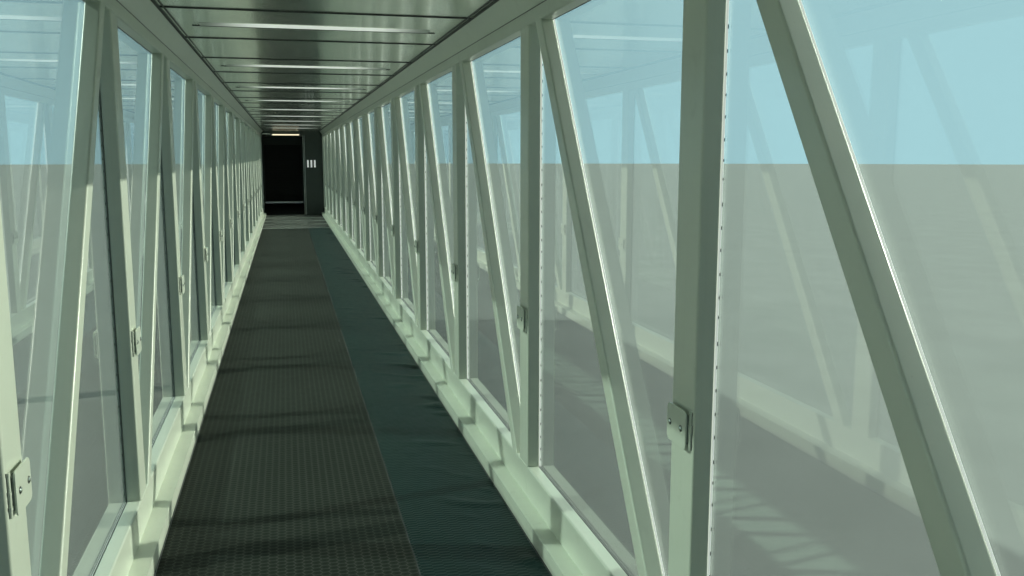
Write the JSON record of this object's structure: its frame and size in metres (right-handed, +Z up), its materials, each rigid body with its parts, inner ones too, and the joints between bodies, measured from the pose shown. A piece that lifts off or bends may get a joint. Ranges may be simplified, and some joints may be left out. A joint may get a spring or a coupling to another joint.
{
  "type": "glazed jet bridge tunnel",
  "caption": "Straight raised walkway tunnel with truss walls, full-height glass, panel ceiling and rubber floor, open at a bolted flange and closed by a shutter in a dark lobby.",
  "frame": {"origin": "centre of the object's box on the ground", "axes": "+Y along the tunnel from the flanged near end to the lobby, +X to the right when looking along +Y, +Z up"},
  "size_m": [2.3, 31.47, 6.26],
  "materials": {
    "cream_paint": "satin",
    "window_frame": "satin",
    "pane_glass": "gloss",
    "ceiling_metal": "gloss",
    "light_housing": "satin",
    "black_rubber": "matte",
    "blue_black_rubber": "satin",
    "floor_metal": "satin",
    "steel_paint": "satin",
    "roof_paint": "satin",
    "dark_paint": "satin",
    "shutter_metal": "satin",
    "warm_lamp": "matte"
  },
  "bodies": {
    "root": {"left_lower_chord": "cream_paint", "right_lower_chord": "cream_paint", "left_upper_chord": "cream_paint", "right_upper_chord": "cream_paint", "left_posts": "cream_paint", "right_posts": "cream_paint", "left_diagonals": "cream_paint", "right_diagonals": "cream_paint", "left_window_frames": "window_frame", "right_window_frames": "window_frame", "left_glass_panes": "pane_glass", "right_glass_panes": "pane_glass", "left_kerb": "cream_paint", "right_kerb": "cream_paint", "ceiling_trims": "cream_paint", "handrail_brackets": "cream_paint", "left_edge_beam": "cream_paint", "right_edge_beam": "cream_paint", "floor_cross_beams": "steel_paint", "floor_deck": "steel_paint", "wide_floor_mat": "black_rubber", "narrow_floor_mat": "blue_black_rubber", "end_floor_plate": "floor_metal", "soffit_sheet": "cream_paint", "ceiling_panels": "ceiling_metal", "ceiling_lights": "light_housing", "roof_beams": "steel_paint", "roof_sheet": "roof_paint", "near_end_flange": "steel_paint", "door_head_panel": "dark_paint", "door_post": "dark_paint", "slotted_side_panel": "dark_paint", "doorway_lamp": "warm_lamp", "lobby_ramp": "black_rubber", "left_lobby_wall": "cream_paint", "right_lobby_wall": "cream_paint", "lobby_end_wall": "cream_paint", "shutter_curtain": "shutter_metal", "shutter_frame": "shutter_metal", "near_left_leg": "steel_paint", "near_right_leg": "steel_paint", "far_left_leg": "steel_paint", "far_right_leg": "steel_paint", "near_trestle_beams": "steel_paint", "far_trestle_beams": "steel_paint"}
  },
  "joints": []
}
